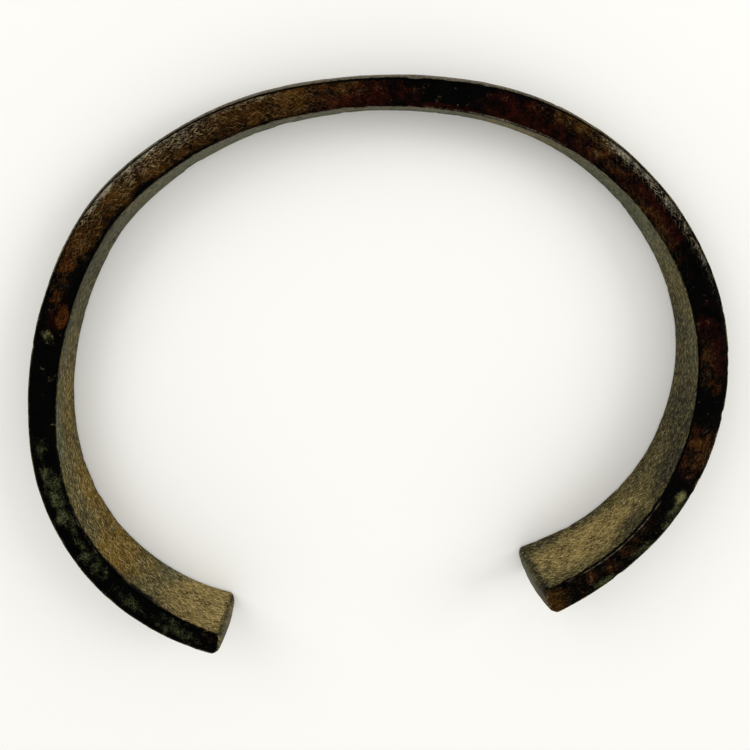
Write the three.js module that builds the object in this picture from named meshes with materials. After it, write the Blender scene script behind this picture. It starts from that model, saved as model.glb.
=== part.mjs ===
// Open iron bangle, forged from one bar and bent into an oval that stops short of closing.
// Millimetres, +Z up. The bangle lies on its lower edge, its mouth faces -Y and its widest
// stretch runs along X. The origin is on the ground under the middle of its outline.

import * as THREE from "three";

// Driving sizes. The bar's length is taken along the outer edge of its rim.
const BAR_LENGTH = 165.0;
const BAR_THICKNESS = 2.9;
const BACK_HEIGHT = 5.5;
const LEFT_TERMINAL_HEIGHT = 8.8;
const RIGHT_TERMINAL_HEIGHT = 9.6;
// How far the foot of each terminal stands in from its rim.
const LEFT_LEAN = 0.65;
const RIGHT_LEAN = 1.05;

// Bends from the left terminal over the back to the right terminal: the share of the bar
// that each takes, and by how many degrees it is bent over that share.
const BENDS = [
  { name: "left terminal", share: 0.187, turn: 75.3 },
  { name: "left side", share: 0.124, turn: 32.3 },
  { name: "left knuckle", share: 0.039, turn: 17.0 },
  { name: "left shoulder", share: 0.111, turn: 30.6 },
  { name: "back", share: 0.108, turn: 19.3 },
  { name: "right shoulder", share: 0.178, turn: 56.5 },
  { name: "right side", share: 0.17, turn: 67.1 },
  { name: "right terminal", share: 0.083, turn: 23.9 },
];
// Length over which one bend eases into the next.
const EASE = 6.0;

// Height of the band where it has risen by a share of the way to a terminal's height.
const leftRise = (share) => BACK_HEIGHT + (LEFT_TERMINAL_HEIGHT - BACK_HEIGHT) * share;
const rightRise = (share) => BACK_HEIGHT + (RIGHT_TERMINAL_HEIGHT - BACK_HEIGHT) * share;

// The hammered bar at places along it, as shares of its length from the left terminal:
// height of the band, thickness of its rim, and lean, how far the foot stands in from the rim.
const SECTIONS = [
  { at: 0.0, height: leftRise(1), thickness: BAR_THICKNESS * 0.83, lean: LEFT_LEAN },
  { at: 0.12, height: leftRise(0.58), thickness: BAR_THICKNESS * 0.91, lean: LEFT_LEAN * 0.6 },
  { at: 0.23, height: leftRise(0.03), thickness: BAR_THICKNESS * 0.97, lean: LEFT_LEAN * 0.25 },
  { at: 0.36, height: BACK_HEIGHT * 1.05, thickness: BAR_THICKNESS * 1.02, lean: LEFT_LEAN * 0.4 },
  { at: 0.5, height: BACK_HEIGHT * 1.03, thickness: BAR_THICKNESS * 0.93, lean: 0 },
  { at: 0.6, height: BACK_HEIGHT * 0.94, thickness: BAR_THICKNESS * 1.02, lean: 0 },
  { at: 0.73, height: BACK_HEIGHT * 0.95, thickness: BAR_THICKNESS * 1.02, lean: RIGHT_LEAN * 0.25 },
  { at: 0.84, height: rightRise(0.32), thickness: BAR_THICKNESS, lean: RIGHT_LEAN * 0.42 },
  { at: 0.94, height: rightRise(0.82), thickness: BAR_THICKNESS * 0.84, lean: RIGHT_LEAN * 0.72 },
  { at: 1.0, height: rightRise(1), thickness: BAR_THICKNESS * 1.02, lean: RIGHT_LEAN },
];
// The outer wall is gently convex, the inner wall is straight.
const OUTER_CROWN = 0.4;
const EDGE_RADIUS = 0.35;

// Each terminal is cut across the bar and rubbed round. The cut is turned a little from
// square, and its foot runs out past the rim.
const TERMINAL_ROUND = 0.5;
const TERMINAL_DOME = 0.25;
const LEFT_CUT = { turn: 8.0, footReach: 0.45 };
const RIGHT_CUT = { turn: -8.0, footReach: 0.85 };
// Length over which the square section changes to the line of the cut.
const CUT_BLEND = 4.0;

// Fineness of the faceted solid.
const STATION_STEP = 1.25;
const WALK_STEP = 0.05;
const EDGE_STEPS = 2;
const OUTER_WALL_STEPS = 4;
const INNER_WALL_STEPS = 2;
const ROUND_STEPS = 3;

const PATINA = new THREE.MeshStandardMaterial({ color: 0x2e2620, roughness: 0.5, metalness: 0.6 });

const radians = THREE.MathUtils.degToRad;

// Length of each bend along the rim's outer edge, and the radius that gives its turn.
const totalShare = BENDS.reduce((sum, bend) => sum + bend.share, 0);
const bends = BENDS.map(({ share, turn }) => {
  const length = (BAR_LENGTH * share) / totalShare;
  return { length, radius: length / radians(turn) };
});

// Angle turned by the bends up to a place. The end bends run on past the terminals.
function turnedAngle(place) {
  const before = Math.min(place, 0);
  const after = Math.max(place - BAR_LENGTH, 0);
  let angle = before / bends[0].radius + after / bends[bends.length - 1].radius;
  let start = 0;
  bends.forEach(({ length, radius }) => {
    angle += THREE.MathUtils.clamp(place - start, 0, length) / radius;
    start += length;
  });
  return angle;
}

// Curvature at a place, the mean of the bends' curvatures over the easing length.
function curvature(place) {
  return (turnedAngle(place + EASE / 2) - turnedAngle(place - EASE / 2)) / EASE;
}

// Smooth curve through the hammered sizes, with each slope taken from its two neighbours.
function sizeAt(name, share) {
  const last = SECTIONS.length - 1;
  const slope = (i) => {
    const before = SECTIONS[Math.max(i - 1, 0)];
    const after = SECTIONS[Math.min(i + 1, last)];
    return (after[name] - before[name]) / (after.at - before.at);
  };
  let i = 0;
  while (i < last - 1 && share > SECTIONS[i + 1].at) {
    i += 1;
  }
  const span = SECTIONS[i + 1].at - SECTIONS[i].at;
  const t = (share - SECTIONS[i].at) / span;
  const rise = t * t * (3 - 2 * t);
  const startBow = t * (1 - t) * (1 - t) * span;
  const endBow = t * t * (t - 1) * span;
  const level = SECTIONS[i][name] + (SECTIONS[i + 1][name] - SECTIONS[i][name]) * rise;
  return level + slope(i) * startBow + slope(i + 1) * endBow;
}

// Points on the rim's outer edge, walked in small steps from the left terminal. Each holds
// its position and the direction in which the bar runs there.
function walkOuterEdge() {
  const steps = Math.round(BAR_LENGTH / WALK_STEP);
  const step = BAR_LENGTH / steps;
  const walk = [{ x: 0, y: 0, heading: 0 }];
  for (let i = 0; i < steps; i += 1) {
    const here = walk[i];
    const bend = curvature((i + 0.5) * step) * step;
    const midway = here.heading - bend / 2;
    walk.push({
      x: here.x + Math.cos(midway) * step,
      y: here.y + Math.sin(midway) * step,
      heading: here.heading - bend,
    });
  }
  // Turned so that the line between the two terminals runs along +X.
  const end = walk[walk.length - 1];
  const tilt = -Math.atan2(end.y, end.x);
  return walk.map((point) => ({
    x: point.x * Math.cos(tilt) - point.y * Math.sin(tilt),
    y: point.x * Math.sin(tilt) + point.y * Math.cos(tilt),
    heading: point.heading + tilt,
  }));
}

// Places of the sections along the bar: close together at the rounded ends, then even.
function stationPlaces() {
  const roundPlaces = [];
  for (let i = 0; i < ROUND_STEPS; i += 1) {
    roundPlaces.push(TERMINAL_ROUND * (1 - Math.cos((Math.PI / 2) * (i / ROUND_STEPS))));
  }
  const straight = BAR_LENGTH - 2 * TERMINAL_ROUND;
  const count = Math.round(straight / STATION_STEP);
  const places = [...roundPlaces];
  for (let i = 0; i <= count; i += 1) {
    places.push(TERMINAL_ROUND + (straight * i) / count);
  }
  return places.concat(roundPlaces.map((place) => BAR_LENGTH - place).reverse());
}

// How much the rounding of the terminals takes off the section all round.
function terminalInset(place) {
  const fromEnd = Math.min(place, BAR_LENGTH - place);
  const depth = Math.max(TERMINAL_ROUND - fromEnd, 0);
  return TERMINAL_ROUND - Math.sqrt(TERMINAL_ROUND ** 2 - depth ** 2);
}

// The cut's share of the section at a distance from its end, whole at the end itself.
function cutShare(fromEnd) {
  return THREE.MathUtils.smoothstep(CUT_BLEND - fromEnd, 0, CUT_BLEND);
}

// Section of the bar as points: in from the rim's outer edge, up from the ground and along
// the bar. It runs along the foot, up the inner wall, along the rim and down the outer wall.
function sectionPoints(place) {
  const share = place / BAR_LENGTH;
  const height = sizeAt("height", share);
  const thickness = sizeAt("thickness", share);
  const lean = sizeAt("lean", share);
  const inset = terminalInset(place);
  const leftReach = LEFT_CUT.footReach * cutShare(place);
  const rightReach = RIGHT_CUT.footReach * cutShare(BAR_LENGTH - place);

  const low = inset + EDGE_RADIUS;
  const high = height - inset - EDGE_RADIUS;
  const outer = inset + EDGE_RADIUS;
  const inner = thickness - inset - EDGE_RADIUS;
  const points = [];
  const addEdge = (inCentre, upCentre, startDegrees) => {
    for (let i = 0; i <= EDGE_STEPS; i += 1) {
      const angle = radians(startDegrees + (90 * i) / EDGE_STEPS);
      points.push([
        inCentre + EDGE_RADIUS * Math.cos(angle),
        upCentre + EDGE_RADIUS * Math.sin(angle),
      ]);
    }
  };
  const addWall = (inPlace, from, to, steps) => {
    for (let i = 1; i < steps; i += 1) {
      points.push([inPlace, from + ((to - from) * i) / steps]);
    }
  };
  addEdge(outer, low, 180);
  addEdge(inner, low, 270);
  addWall(inner + EDGE_RADIUS, low, high, INNER_WALL_STEPS);
  addEdge(inner, high, 0);
  addEdge(outer, high, 90);
  addWall(outer - EDGE_RADIUS, high, low, OUTER_WALL_STEPS);

  return points.map(([into, up]) => {
    const level = up / height;
    const outside = Math.max(1 - into / (thickness / 2), 0);
    const crown = OUTER_CROWN * 4 * level * (1 - level) * outside;
    return {
      into: into - crown + lean * (1 - level),
      up,
      along: (rightReach - leftReach) * (1 - level ** 2),
    };
  });
}

// The bar at each place: where it is, which way its section faces, and the section itself.
function makeStations() {
  const walk = walkOuterEdge();
  return stationPlaces().map((place) => {
    const { x, y, heading } = walk[Math.round((place / BAR_LENGTH) * (walk.length - 1))];
    const leftTurn = LEFT_CUT.turn * cutShare(place);
    const rightTurn = RIGHT_CUT.turn * cutShare(BAR_LENGTH - place);
    const inward = heading - Math.PI / 2 + radians(leftTurn + rightTurn);
    return { x, y, heading, inward, section: sectionPoints(place) };
  });
}

// The solid: rings of section points joined by strips, and a low dome over each terminal.
function bangleGeometry() {
  const stations = makeStations();
  const ring = stations[0].section.length;
  const positions = [];
  const triangles = [];

  const addPoint = (station, { into, up, along }) => {
    positions.push(
      station.x + Math.cos(station.inward) * into + Math.cos(station.heading) * along,
      station.y + Math.sin(station.inward) * into + Math.sin(station.heading) * along,
      up,
    );
  };
  stations.forEach((station) => {
    station.section.forEach((point) => addPoint(station, point));
  });

  for (let s = 0; s + 1 < stations.length; s += 1) {
    for (let i = 0; i < ring; i += 1) {
      const a = s * ring + i;
      const b = s * ring + ((i + 1) % ring);
      triangles.push(a, b + ring, b, a, a + ring, b + ring);
    }
  }

  const addDome = (s, outgoing) => {
    const { section } = stations[s];
    const mean = (axis) => section.reduce((sum, point) => sum + point[axis], 0) / ring;
    const apex = positions.length / 3;
    const along = mean("along") + TERMINAL_DOME * outgoing;
    addPoint(stations[s], { into: mean("into"), up: mean("up"), along });
    for (let i = 0; i < ring; i += 1) {
      const a = s * ring + i;
      const b = s * ring + ((i + 1) % ring);
      triangles.push(apex, ...(outgoing > 0 ? [b, a] : [a, b]));
    }
  };
  addDome(0, -1);
  addDome(stations.length - 1, 1);

  const geometry = new THREE.BufferGeometry();
  geometry.setAttribute("position", new THREE.Float32BufferAttribute(positions, 3));
  geometry.setIndex(triangles);
  geometry.computeBoundingBox();
  const box = geometry.boundingBox;
  geometry.translate(-(box.min.x + box.max.x) / 2, -(box.min.y + box.max.y) / 2, -box.min.z);
  geometry.computeVertexNormals();
  return geometry;
}

const bangle = new THREE.Mesh(bangleGeometry(), PATINA);
bangle.name = "bangle";

const part = new THREE.Group();
part.add(bangle);

export default part;
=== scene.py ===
"""Visual model of an open iron bangle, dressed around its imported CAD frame.

The bangle is one forged bar, upright in section and bent into an oval. Its fine mesh is a
rounded profile carried along the bar and worked by a relief of hammer swell, pits and nicks.
Lengths in this file are millimetres; they become metres where a mesh or an object is made.
"""

import logging
from collections.abc import Callable
from dataclasses import dataclass, field
from enum import Enum

import bpy
import numpy as np
from mathutils import Matrix, Vector


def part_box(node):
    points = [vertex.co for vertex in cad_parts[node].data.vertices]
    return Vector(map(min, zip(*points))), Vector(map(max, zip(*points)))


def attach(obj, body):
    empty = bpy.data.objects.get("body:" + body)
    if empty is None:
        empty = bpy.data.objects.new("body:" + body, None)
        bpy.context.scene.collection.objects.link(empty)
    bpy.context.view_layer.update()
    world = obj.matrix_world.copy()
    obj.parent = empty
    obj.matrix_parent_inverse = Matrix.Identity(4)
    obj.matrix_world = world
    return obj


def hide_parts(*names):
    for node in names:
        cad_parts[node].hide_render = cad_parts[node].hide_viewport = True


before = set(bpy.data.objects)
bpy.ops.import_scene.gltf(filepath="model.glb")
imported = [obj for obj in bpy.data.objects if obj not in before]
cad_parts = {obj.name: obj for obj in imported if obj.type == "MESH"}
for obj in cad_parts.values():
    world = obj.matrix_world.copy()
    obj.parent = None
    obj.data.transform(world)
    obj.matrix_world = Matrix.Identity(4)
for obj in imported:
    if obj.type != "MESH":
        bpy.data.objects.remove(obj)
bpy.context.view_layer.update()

log = logging.getLogger("bangle")

MM = 0.001
# The bar's UV map holds millimetres times this, along the bar and around its section.
UV_PER_MM = 0.01

Tree = bpy.types.NodeTree
Socket = bpy.types.NodeSocket


def linear(hex_colour: str) -> tuple[float, float, float, float]:
    """Turns an sRGB hex colour into a linear RGBA value.

    Args:
        hex_colour: Six hex digits after a hash sign.

    Returns:
        The linear red, green and blue, with an alpha of one.
    """
    srgb = np.array([int(hex_colour[i : i + 2], 16) for i in (1, 3, 5)]) / 255.0
    value = np.where(srgb <= 0.04045, srgb / 12.92, ((srgb + 0.055) / 1.055) ** 2.4)
    return (*value.tolist(), 1.0)


def smoothstep(low: float, high: float, value: np.ndarray) -> np.ndarray:
    """Eases value from 0 at low to 1 at high: 3t^2 - 2t^3 of the clamped share t."""
    t = np.clip((value - low) / (high - low), 0.0, 1.0)
    return t * t * (3.0 - 2.0 * t)


def add_node(
    tree: Tree, kind: str, inputs: dict[str | int, object] | None = None, **settings: object
) -> bpy.types.Node:
    """Adds a node with its settings and links.

    Args:
        tree: The node tree that takes the node.
        kind: The node's type name.
        inputs: Socket name or number, to a value or to the output socket that feeds it.
        **settings: The node's own properties.

    Returns:
        The new node.
    """
    node = tree.nodes.new(kind)
    for name, value in settings.items():
        setattr(node, name, value)
    for key, value in (inputs or {}).items():
        if isinstance(value, Socket):
            tree.links.new(value, node.inputs[key])
        else:
            node.inputs[key].default_value = value
    return node


@dataclass(frozen=True)
class LatticeNoise:
    """Smooth random field: values on a repeating cubic lattice, eased between its corners."""

    seed: int
    cells: int = 32
    # Octaves are sampled this many cells apart, so that they don't repeat one another.
    octave_shift: float = 17.3

    def sample(self, points: np.ndarray, wavelength: float, octaves: int) -> np.ndarray:
        """Sums octaves of the field, each half as long and half as strong as the last.

        Args:
            points: Positions in millimetres, in the last axis.
            wavelength: Distance between lattice values in the first octave.
            octaves: How many octaves are summed.

        Returns:
            One value for each point, mostly between -1 and 1.
        """
        lattice = np.random.default_rng(self.seed).uniform(-1.0, 1.0, (self.cells,) * 3)
        total = np.zeros(points.shape[:-1])
        strength = 1.0
        for octave in range(octaves):
            place = points / wavelength * 2.0**octave + self.octave_shift * octave
            base = np.floor(place).astype(int)
            share = place - base
            share = share * share * (3.0 - 2.0 * share)
            value = np.zeros(points.shape[:-1])
            for corner in np.ndindex(2, 2, 2):
                index = (base + corner) % self.cells
                weight = np.prod(np.where(np.array(corner) == 1, share, 1.0 - share), axis=-1)
                value += weight * lattice[index[..., 0], index[..., 1], index[..., 2]]
            total += strength * value
            strength *= 0.5
        return total


@dataclass(frozen=True)
class Bend:
    """A stretch of the bar bent to one radius: its share of the bar and its turn in degrees."""

    share: float
    turn: float


@dataclass(frozen=True)
class HammeredSize:
    """The bar's section at one place, given as a share of the bar's length."""

    at: float
    height: float
    thickness: float
    lean: float


@dataclass(frozen=True)
class TerminalCut:
    """How a terminal is cut: its turn from square, and how far its foot passes its rim."""

    turn: float
    foot_reach: float


@dataclass
class Bar:
    """The forged bar's form: bends of its outer rim edge and sizes of its section."""

    length: float = 165.0
    # A bend eases into the next one over this length.
    ease: float = 6.0
    bends: tuple[Bend, ...] = (
        Bend(0.187, 75.3),
        Bend(0.124, 32.3),
        Bend(0.039, 17.0),
        Bend(0.111, 30.6),
        Bend(0.108, 19.3),
        Bend(0.178, 56.5),
        Bend(0.17, 67.1),
        Bend(0.083, 23.9),
    )
    sizes: tuple[HammeredSize, ...] = (
        HammeredSize(0.0, 8.8, 2.4, 0.65),
        HammeredSize(0.12, 7.4, 2.65, 0.4),
        HammeredSize(0.23, 5.6, 2.8, 0.16),
        HammeredSize(0.36, 5.77, 2.95, 0.26),
        HammeredSize(0.5, 5.66, 2.7, 0.0),
        HammeredSize(0.6, 5.17, 2.95, 0.0),
        HammeredSize(0.73, 5.22, 2.95, 0.26),
        HammeredSize(0.84, 6.81, 2.9, 0.44),
        HammeredSize(0.94, 8.86, 2.44, 0.76),
        HammeredSize(1.0, 9.6, 2.95, 1.05),
    )
    # How far the outer wall stands out in its middle.
    crown: float = 0.4
    edge_radius: float = 0.35
    # The terminals are more worn and cut squarer than the solid's, by under 0.25 mm.
    terminal_round: float = 0.8
    terminal_dome: float = 0.14
    left_cut: TerminalCut = TerminalCut(5.0, 0.5)
    right_cut: TerminalCut = TerminalCut(-5.0, 0.95)
    # A cut's turn and reach fade out over this length from its end.
    cut_blend: float = 4.0
    # Length of the steps that the walk along the outer edge takes.
    walk_step: float = 0.05

    def turned(self, place: np.ndarray) -> np.ndarray:
        """Adds up the bends to a place: each turns the bar by its length over its radius.

        Args:
            place: Distances from the left terminal, also beyond the bar's two ends.

        Returns:
            The angle turned so far in radians.
        """
        shares = np.array([bend.share for bend in self.bends])
        ends = np.concatenate([[0.0], np.cumsum(shares / shares.sum())]) * self.length
        angles = np.radians(np.concatenate([[0.0], np.cumsum([bend.turn for bend in self.bends])]))
        first = (angles[1] - angles[0]) / (ends[1] - ends[0])
        last = (angles[-1] - angles[-2]) / (ends[-1] - ends[-2])
        inside = np.interp(place, ends, angles)
        return inside + np.minimum(place, 0.0) * first + np.maximum(place - self.length, 0.0) * last

    def outer_edge(self, places: np.ndarray) -> tuple[np.ndarray, np.ndarray]:
        """Walks the rim's outer edge by adding up short steps along its heading.

        Args:
            places: Distances from the left terminal.

        Returns:
            The edge's positions at those places, and the bar's heading there in radians.
        """
        steps = round(self.length / self.walk_step)
        step = self.length / steps
        middles = (np.arange(steps) + 0.5) * step
        half = self.ease / 2.0
        bend = (self.turned(middles + half) - self.turned(middles - half)) / self.ease * step
        heading = -np.concatenate([[0.0], np.cumsum(bend)])
        midway = heading[:-1] - bend / 2.0
        x = np.concatenate([[0.0], np.cumsum(np.cos(midway) * step)])
        y = np.concatenate([[0.0], np.cumsum(np.sin(midway) * step)])
        tilt = -np.arctan2(y[-1], x[-1])
        walked = np.linspace(0.0, self.length, steps + 1)
        along_x = np.interp(places, walked, x * np.cos(tilt) - y * np.sin(tilt))
        along_y = np.interp(places, walked, x * np.sin(tilt) + y * np.cos(tilt))
        return np.stack([along_x, along_y], axis=-1), np.interp(places, walked, heading) + tilt

    def size_at(self, name: str, share: np.ndarray) -> np.ndarray:
        """Joins the hammered sizes by cubic curves whose slopes come from their neighbours.

        Args:
            name: The field of HammeredSize to follow.
            share: Places along the bar, as shares of its length.

        Returns:
            The size at each place.
        """
        at = np.array([size.at for size in self.sizes])
        value = np.array([getattr(size, name) for size in self.sizes])
        before = np.maximum(np.arange(len(at)) - 1, 0)
        after = np.minimum(np.arange(len(at)) + 1, len(at) - 1)
        slope = (value[after] - value[before]) / (at[after] - at[before])
        i = np.clip(np.searchsorted(at, share) - 1, 0, len(at) - 2)
        span = at[i + 1] - at[i]
        t = (share - at[i]) / span
        level = value[i] + (value[i + 1] - value[i]) * t * t * (3.0 - 2.0 * t)
        return level + span * t * (1.0 - t) * (slope[i] * (1.0 - t) - slope[i + 1] * t)

    def cut_share(self, from_end: np.ndarray) -> np.ndarray:
        """Gives the cut's share of the section, whole at the end and none past its blend."""
        return smoothstep(0.0, self.cut_blend, self.cut_blend - from_end)


@dataclass
class ProfileGrid:
    """How finely the bar's surface is divided along it and around its section."""

    along: int = 690
    foot: int = 14
    corner: int = 7
    wall: int = 33
    rim: int = 20
    round_rows: int = 5
    cap_rows: int = 8

    def places(self, bar: Bar) -> np.ndarray:
        """Spaces the rows along the bar, crowded where the terminals are rounded.

        Args:
            bar: The bar's sizes.

        Returns:
            The rows' distances from the left terminal.
        """
        quarter = np.linspace(0.0, np.pi / 2.0, self.round_rows, endpoint=False)
        rounded = bar.terminal_round * (1.0 - np.cos(quarter))
        even = np.linspace(bar.terminal_round, bar.length - bar.terminal_round, self.along)
        return np.concatenate([rounded, even, bar.length - rounded[::-1]])

    def section(self, bar: Bar, places: np.ndarray) -> tuple[np.ndarray, np.ndarray, np.ndarray]:
        """Draws the bar's rounded section at each place.

        It starts in the middle of the foot and runs up the inner wall, over the rim and
        down the outer wall. The rounded rectangle is pushed out by the wall's crown,
        4h(1-h) of the height share h, and leans in towards its foot.

        Args:
            bar: The bar's sizes.
            places: Distances from the left terminal.

        Returns:
            For each place and section point, how far in, up and along the bar it lies.
        """
        share = places / bar.length
        height = bar.size_at("height", share)[:, None]
        thickness = bar.size_at("thickness", share)[:, None]
        lean = bar.size_at("lean", share)[:, None]
        from_end = np.minimum(places, bar.length - places)
        depth = np.maximum(bar.terminal_round - from_end, 0.0)
        inset = (bar.terminal_round - np.sqrt(bar.terminal_round**2 - depth**2))[:, None]
        radius = bar.edge_radius
        outer, inner = inset + radius, thickness - inset - radius
        low, high = inset + radius, height - inset - radius

        def line(start: np.ndarray, end: np.ndarray, count: int) -> np.ndarray:
            """Divides a straight stretch evenly, without its two ends."""
            t = np.linspace(0.0, 1.0, count + 2)[1:-1]
            return start + (end - start) * t

        def edge(
            centre: np.ndarray, degrees: float, trig: Callable[[np.ndarray], np.ndarray]
        ) -> np.ndarray:
            """Rounds an edge by a quarter turn from an angle in degrees."""
            angle = np.radians(np.linspace(degrees, degrees + 90.0, self.corner))
            return centre + radius * trig(angle)

        half_foot = self.foot // 2
        middle = (outer + inner) / 2.0
        into = np.concatenate(
            [
                line(middle, inner, half_foot),
                edge(inner, -90.0, np.cos),
                line(inner + radius, inner + radius, self.wall),
                edge(inner, 0.0, np.cos),
                line(inner, outer, self.rim),
                edge(outer, 90.0, np.cos),
                line(outer - radius, outer - radius, self.wall),
                edge(outer, 180.0, np.cos),
                line(outer, middle, half_foot),
            ],
            axis=1,
        )
        up = np.concatenate(
            [
                line(inset, inset, half_foot),
                edge(low, -90.0, np.sin),
                line(low, high, self.wall),
                edge(high, 0.0, np.sin),
                line(high + radius, high + radius, self.rim),
                edge(high, 90.0, np.sin),
                line(high, low, self.wall),
                edge(low, 180.0, np.sin),
                line(inset, inset, half_foot),
            ],
            axis=1,
        )
        level = up / height
        outside = np.maximum(1.0 - into / (thickness / 2.0), 0.0)
        into = into - bar.crown * 4.0 * level * (1.0 - level) * outside + lean * (1.0 - level)
        reach = bar.right_cut.foot_reach * bar.cut_share(bar.length - places)
        reach = reach - bar.left_cut.foot_reach * bar.cut_share(places)
        return into, up, reach[:, None] * (1.0 - level**2)


class Face(Enum):
    """A side of the bar that carries patina of its own."""

    RIM = "rim"
    INNER = "inner"
    OUTER = "outer"
    TERMINAL = "terminal"
    INNER_EDGE = "inner_edge"
    INNER_LINE = "inner_line"
    OUTER_LIP = "outer_lip"
    END_EDGE = "end_edge"


class Tone(Enum):
    """A tone that lies over the dark base coat: patina, and in the worn and bare tones also painted
    sheen.
    """

    RED = "red"
    BROWN = "brown"
    OLIVE = "olive"
    RUST = "rust"
    # Worn grey metal, its pale shade also a painted sheen of the lights.
    WORN_SHEEN = "worn"
    VERDIGRIS = "verdigris"
    DARK = "dark"
    TAN = "tan"
    OCHRE = "ochre"
    GREY = "grey"
    # Bare metal, its pale shade also a painted highlight along the inner edge and a painted reflection
    # along the back.
    BARE_AND_SHEEN = "bare_and_sheen"
    SKIN = "skin"


@dataclass(frozen=True)
class Patch:
    """A patch of one tone on one face, in millimetres along the bar.

    Attributes:
        tone: The patina's tone.
        face: The face that it lies on.
        at: Its middle along the bar, from the left terminal.
        reach: Half its length along the bar.
        across: Its middle across the face, 0 at the outer or upper edge and 1 at the other.
        spread: Half its width, as a share of the face.
        strength: How densely it covers its middle.
    """

    tone: Tone
    face: Face
    at: float
    reach: float
    across: float
    spread: float
    strength: float


def laid(
    tone: Tone, face: Face, *patches: tuple[float, float, float, float, float]
) -> tuple[Patch, ...]:
    """Makes patches of one tone on one face from their at, reach, across, spread and strength."""
    return tuple(Patch(tone, face, *patch) for patch in patches)


# Patina of the rim, with a painted sheen along its outer edge, each tone from the left terminal over
# the back to the right terminal.
RIM_PATCHES = (
    *laid(
        Tone.RED, Face.RIM,
        (1.0, 1.6, 0.5, 0.6, 0.22), (43.5, 2.2, 0.58, 0.28, 0.5),
        (82.0, 5.0, 0.6, 0.55, 0.68), (91.0, 4.0, 0.92, 0.14, 0.6),
        (99.0, 4.0, 0.6, 0.6, 0.55), (107.0, 5.0, 0.6, 0.5, 0.52),
        (115.0, 6.0, 0.65, 0.35, 0.7), (131.3, 4.2, 0.6, 0.6, 0.46),
        (142.4, 2.8, 0.6, 0.6, 0.6), (157.0, 7.0, 0.62, 0.45, 0.34),
    ),
    *laid(
        Tone.OLIVE, Face.RIM,
        (5.0, 3.0, 0.55, 0.34, 0.4), (11.0, 2.4, 0.5, 0.3, 0.3),
        (16.5, 2.4, 0.57, 0.3, 0.45), (21.3, 2.3, 0.58, 0.28, 0.48),
        (25.4, 2.4, 0.57, 0.29, 0.5), (29.5, 1.5, 0.45, 0.2, 0.35),
        (58.3, 1.4, 0.28, 0.24, 0.45), (149.0, 2.4, 0.27, 0.18, 0.52),
        (154.0, 1.6, 0.2, 0.17, 0.45), (159.2, 1.3, 0.18, 0.16, 0.58),
    ),
    *laid(
        Tone.VERDIGRIS, Face.RIM,
        (40.9, 0.6, 0.45, 0.22, 0.5), (147.4, 0.8, 0.35, 0.2, 0.5),
        (150.5, 0.5, 0.2, 0.14, 0.6),
    ),
    *laid(
        Tone.RUST, Face.RIM,
        (43.1, 0.9, 0.78, 0.17, 1.05), (45.0, 0.8, 0.4, 0.22, 0.4),
        (48.6, 1.2, 0.32, 0.23, 0.66), (135.2, 0.8, 0.42, 0.22, 0.45),
    ),
    *laid(
        Tone.BROWN, Face.RIM,
        (46.5, 2.5, 0.33, 0.26, 0.34), (52.8, 3.0, 0.4, 0.45, 1.1),
        (61.0, 8.0, 0.38, 0.5, 1.0), (72.5, 6.5, 0.42, 0.52, 0.85),
        (80.5, 3.4, 0.3, 0.3, 0.5), (105.5, 4.0, 0.15, 0.28, 0.65),
        (108.5, 3.5, 0.5, 0.4, 0.35), (116.0, 5.0, 0.85, 0.2, 0.38),
        (133.0, 2.2, 0.75, 0.25, 0.42), (142.3, 2.3, 0.4, 0.6, 0.46),
        (157.5, 6.5, 0.6, 0.45, 0.27), (164.2, 1.4, 0.5, 0.5, 0.6),
    ),
    # Worn grey along the rim's outer edge, which also paints the sheen of the lights on the shoulders.
    *laid(
        Tone.WORN_SHEEN, Face.RIM,
        (55.5, 3.0, 0.08, 0.13, 0.7), (61.0, 6.5, 0.05, 0.12, 0.9),
        (61.0, 3.4, 0.3, 0.26, 0.36), (66.0, 3.0, 0.28, 0.25, 0.38),
        (72.0, 3.0, 0.1, 0.14, 0.42), (109.5, 2.5, 0.12, 0.15, 0.65),
        (114.5, 5.5, 0.15, 0.15, 0.58), (121.5, 3.5, 0.1, 0.11, 0.36),
    ),
    *laid(
        Tone.SKIN, Face.RIM,
        (47.4, 2.6, 0.97, 0.24, 0.9), (53.5, 4.0, 1.02, 0.2, 0.8),
        (59.6, 1.5, 0.95, 0.2, 1.0), (64.5, 4.0, 1.0, 0.14, 0.9),
        (72.0, 5.0, 1.02, 0.1, 0.8),
    ),
)
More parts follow.
